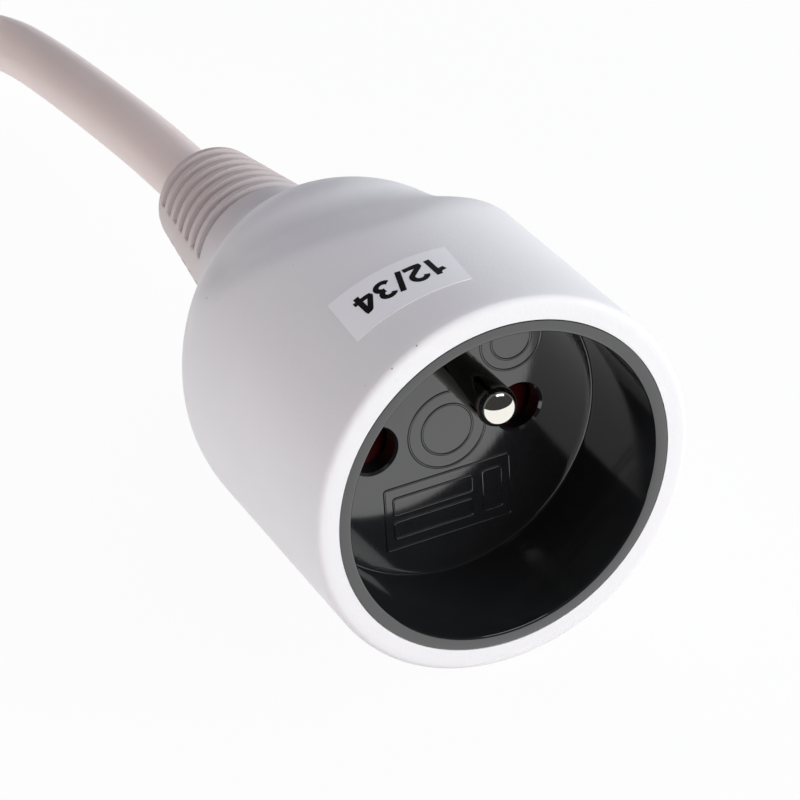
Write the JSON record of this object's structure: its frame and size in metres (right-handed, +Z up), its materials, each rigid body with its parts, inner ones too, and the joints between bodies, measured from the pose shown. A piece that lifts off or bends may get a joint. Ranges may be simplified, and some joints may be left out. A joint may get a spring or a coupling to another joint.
{
  "type": "extension lead",
  "caption": "In-line socket of a mains extension lead with a round recess, shuttered pin holes, a standing earth pin, finger scoops and a ribbed relief, with hanked cord and angled plug.",
  "frame": {"origin": "middle of the socket's underside: below the middle of its length, on the surface it lies on", "axes": "+Y along the socket's axis from its mouth towards the cord, +Z up on the earth pin's side"},
  "size_m": [0.0761, 0.3803, 0.053],
  "materials": {
    "white_pvc": "satin",
    "black_plastic": "gloss",
    "white_hard_plastic": "satin",
    "red_plastic": "satin",
    "nickel": "polished",
    "brass": "satin",
    "spring_steel": "satin",
    "brown_core": "satin",
    "blue_core": "satin",
    "green_core": "satin",
    "tie_plastic": "satin"
  },
  "bodies": {
    "lead": {"socket_body": "white_pvc", "socket_insert": "black_plastic", "contact_carrier": "black_plastic", "earth_pin": "nickel", "shutter_spring": "spring_steel", "line_contact": "brass", "neutral_contact": "brass", "line_core": "brown_core", "neutral_core": "blue_core", "earth_core": "green_core", "cord": "white_pvc", "cord_hank": "white_pvc", "hank_tie": "tie_plastic", "cord_tail": "white_pvc", "plug_body": "white_pvc", "plug_insert": "white_hard_plastic", "plug_line_pin": "nickel", "plug_neutral_pin": "nickel", "plug_earth_strap": "nickel", "plug_line_core": "brown_core", "plug_neutral_core": "blue_core", "plug_earth_core": "green_core"},
    "shutter": {"shutter": "red_plastic"}
  },
  "joints": [
    {"name": "shutter_slide", "type": "slide", "parent": "lead", "child": "shutter", "axis": [0, 0, -1], "range_m": [0, 0.0065], "stiffness_N_per_m": 40, "springref_m": -0.012, "deforming": ["shutter_spring"]}
  ]
}
